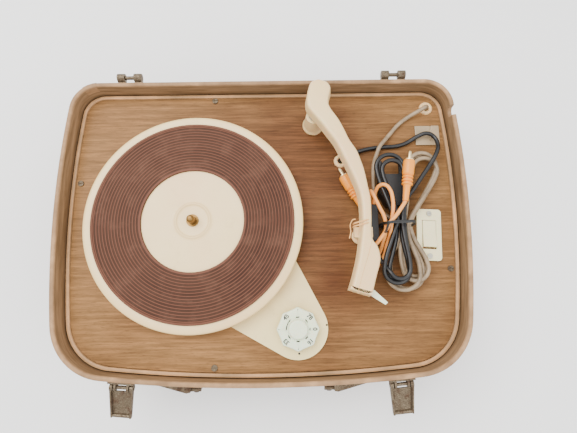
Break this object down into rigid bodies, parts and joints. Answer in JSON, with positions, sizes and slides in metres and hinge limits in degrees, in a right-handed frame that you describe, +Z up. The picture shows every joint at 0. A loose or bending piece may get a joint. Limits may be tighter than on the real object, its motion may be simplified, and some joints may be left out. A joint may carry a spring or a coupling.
{
  "type": "portable record player",
  "caption": "Suitcase-base record player: bow-sided case, veneered deck, idler-driven platter, curved tonearm, speed knob, cords.",
  "frame": {"origin": "middle of the whole object's footprint, on the surface it stands on", "axes": "+Z up, +X to the right seen from the front, +Y to the back with the lid hinges"},
  "size_m": [0.377, 0.3144, 0.1179],
  "materials": {
    "leatherette": "beige leatherette covering",
    "panel": "hardboard",
    "pine": "raw softwood",
    "strip": "satin beige plastic",
    "veneer": "varnished veneered plywood",
    "old_steel": "tarnished plated steel",
    "bright_steel": "ground steel",
    "cream_enamel": "cream stove enamel",
    "cream_plastic": "cream moulded plastic",
    "white_plastic": "white moulded plastic",
    "mat_rubber": "red-brown ribbed rubber",
    "black_rubber": "black rubber",
    "brass": "dull brass",
    "laminations": "stacked iron sheet",
    "copper_coil": "enamelled copper in a wrapper",
    "aluminium": "cast aluminium",
    "handle_brown": "brown moulded plastic",
    "grey_pvc": "aged grey PVC",
    "black_pvc": "black PVC",
    "yellow_pvc": "pale yellow PVC",
    "plug_yellow": "yellow moulded plastic"
  },
  "bodies": {
    "case": {"case_wall": "leatherette", "case_bottom": "panel", "board_cleats": "pine", "edge_strip": "strip", "motor_board": "veneer", "board_screws": "old_steel", "rubber_feet": "black_rubber", "hinge_leaves": "old_steel", "latch_plates": "old_steel", "pivot_pins": "bright_steel", "handle_brackets": "old_steel", "deck_plate": "cream_enamel", "motor_screws": "bright_steel", "rubber_bushes": "black_rubber", "bearing_tube": "bright_steel", "thrust_ball": "bright_steel", "stator_stack": "laminations", "stator_coil": "copper_coil", "motor_bridges": "aluminium", "arm_post": "cream_plastic", "post_nut": "bright_steel", "arm_rest": "cream_plastic", "switch_plate": "white_plastic", "switch_screws": "bright_steel", "switch_body": "cream_plastic", "voltage_plate": "cream_plastic", "cable_grommets": "cream_plastic", "mains_lead": "grey_pvc", "mains_hank": "grey_pvc", "mains_plug": "black_pvc", "signal_lead": "black_pvc", "signal_hank": "black_pvc", "inline_socket": "black_pvc", "phono_lead_a": "yellow_pvc", "phono_lead_b": "yellow_pvc", "phono_plugs": "plug_yellow", "cable_tie": "black_pvc"},
    "platter": {"platter": "cream_enamel", "platter_mat": "mat_rubber", "spindle": "brass", "centre_bush": "brass"},
    "idler_carrier": {"idler_arm": "bright_steel"},
    "idler": {"idler_wheel": "brass", "idler_tyre": "black_rubber"},
    "rotor": {"rotor_core": "laminations", "rotor_shaft": "bright_steel", "stepped_pulley": "brass"},
    "knob": {"speed_knob": "white_plastic", "knob_shaft": "bright_steel", "speed_cam": "cream_plastic"},
    "rocker": {"rocker": "white_plastic"},
    "swing": {"arm_yoke": "aluminium"},
    "arm": {"tonearm": "cream_plastic", "lift_pin": "bright_steel", "counterweight": "laminations", "cartridge": "cream_plastic"},
    "stylus": {"stylus_lever": "white_plastic"},
    "latch_left": {"latch_left": "old_steel"},
    "latch_right": {"latch_right": "old_steel"},
    "handle": {"handle": "handle_brown"}
  },
  "joints": [
    {"name": "platter_spin", "type": "hinge", "parent": "case", "child": "platter", "pos_m": [-0.0622, 0.0111, 0.0894], "axis": [0, 0, -1], "continuous": true},
    {"name": "speed_turn", "type": "hinge", "parent": "case", "child": "knob", "pos_m": [0.03157, -0.08532, 0.0844], "axis": [0, 0, 1], "range_deg": [-135, 135]},
    {"name": "idler_lift", "type": "slide", "parent": "case", "child": "idler_carrier", "axis": [0, 0, 1], "range_m": [-0.0039, 0.0039]},
    {"name": "idler_spin", "type": "hinge", "parent": "idler_carrier", "child": "idler", "pos_m": [0.00376, -0.02397, 0.0878], "axis": [0, 0, -1], "continuous": true},
    {"name": "motor_spin", "type": "hinge", "parent": "case", "child": "rotor", "pos_m": [-0.01973, -0.02479, 0.0594], "axis": [0, 0, -1], "continuous": true},
    {"name": "rocker_tilt", "type": "hinge", "parent": "case", "child": "rocker", "pos_m": [0.155, -0.0025, 0.0754], "axis": [0.9986, -0.0523, 0], "range_deg": [0, 10]},
    {"name": "arm_swing", "type": "hinge", "parent": "case", "child": "swing", "pos_m": [0.04959, 0.10794, 0.0994], "axis": [0, 0, -1], "range_deg": [0, 46]},
    {"name": "arm_lift", "type": "hinge", "parent": "swing", "child": "arm", "pos_m": [0.04959, 0.10794, 0.1104], "axis": [-0.9732, -0.23, 0], "range_deg": [0, 25]},
    {"name": "stylus_turnover", "type": "hinge", "parent": "arm", "child": "stylus", "pos_m": [0.08617, -0.0468, 0.1044], "axis": [0.0872, 0.9962, 0], "range_deg": [0, 180]},
    {"name": "latch_left_swing", "type": "hinge", "parent": "case", "child": "latch_left", "pos_m": [-0.11842, -0.13101, 0.0904], "axis": [-0.9959, 0.0908, 0], "range_deg": [0, 110]},
    {"name": "latch_right_swing", "type": "hinge", "parent": "case", "child": "latch_right", "pos_m": [0.11842, -0.13101, 0.0904], "axis": [-0.9959, -0.0908, 0], "range_deg": [0, 110]},
    {"name": "handle_swing", "type": "hinge", "parent": "case", "child": "handle", "pos_m": [0, -0.136, 0.0764], "axis": [-1, 0, 0], "range_deg": [0, 100]}
  ],
  "couplings": [
    {"joint": "idler_lift", "follows": "speed_turn", "m_per_rad": 0.0016552},
    {"joint": "idler_spin", "follows": "platter_spin", "ratio": 5.1667},
    {"joint": "motor_spin", "follows": "platter_spin", "ratio": -42.273}
  ]
}
